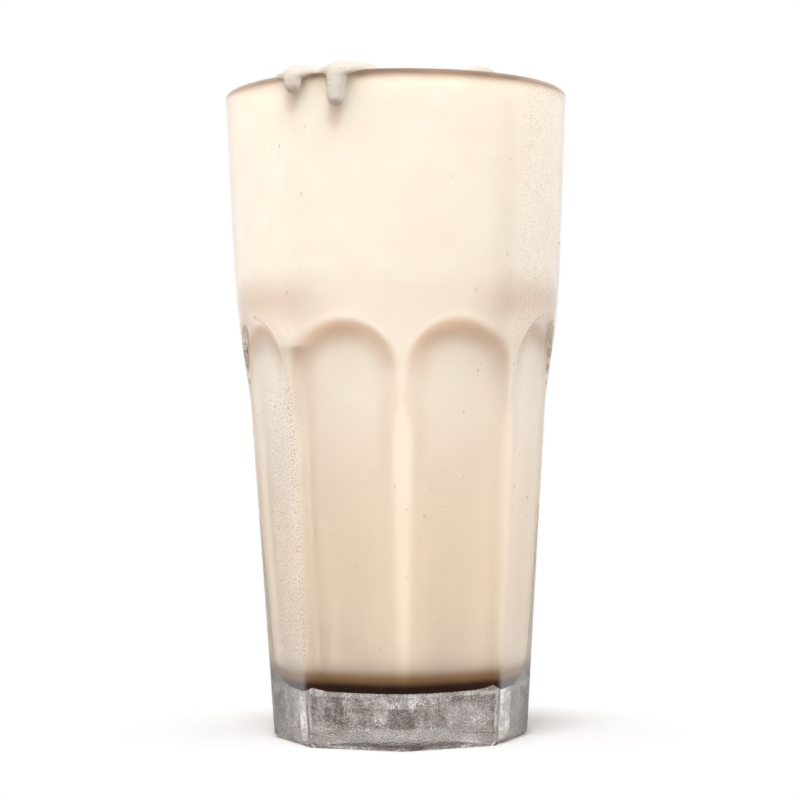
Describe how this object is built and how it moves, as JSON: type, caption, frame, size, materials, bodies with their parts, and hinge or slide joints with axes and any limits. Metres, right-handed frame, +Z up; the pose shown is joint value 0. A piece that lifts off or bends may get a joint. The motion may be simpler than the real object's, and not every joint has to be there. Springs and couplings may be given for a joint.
{
  "type": "vanilla milkshake",
  "caption": "Tall arched-panel cooler glass filled to the brim with pale vanilla milkshake that runs over the rim in drips.",
  "frame": {"origin": "centre of the foot, on the surface the glass stands on", "axes": "+Z up along the glass's axis; a rib faces -Y, which is the front; the drips run down the front left, between -X and -Y"},
  "size_m": [0.0852, 0.0852, 0.1622],
  "materials": {
    "glass": "clear pressed glass, fire-polished, faintly dewed with cold",
    "milkshake": "thick blended vanilla milk drink, satin wet surface"
  },
  "bodies": {
    "root": {"glass": "glass", "milkshake": "milkshake"}
  },
  "joints": []
}
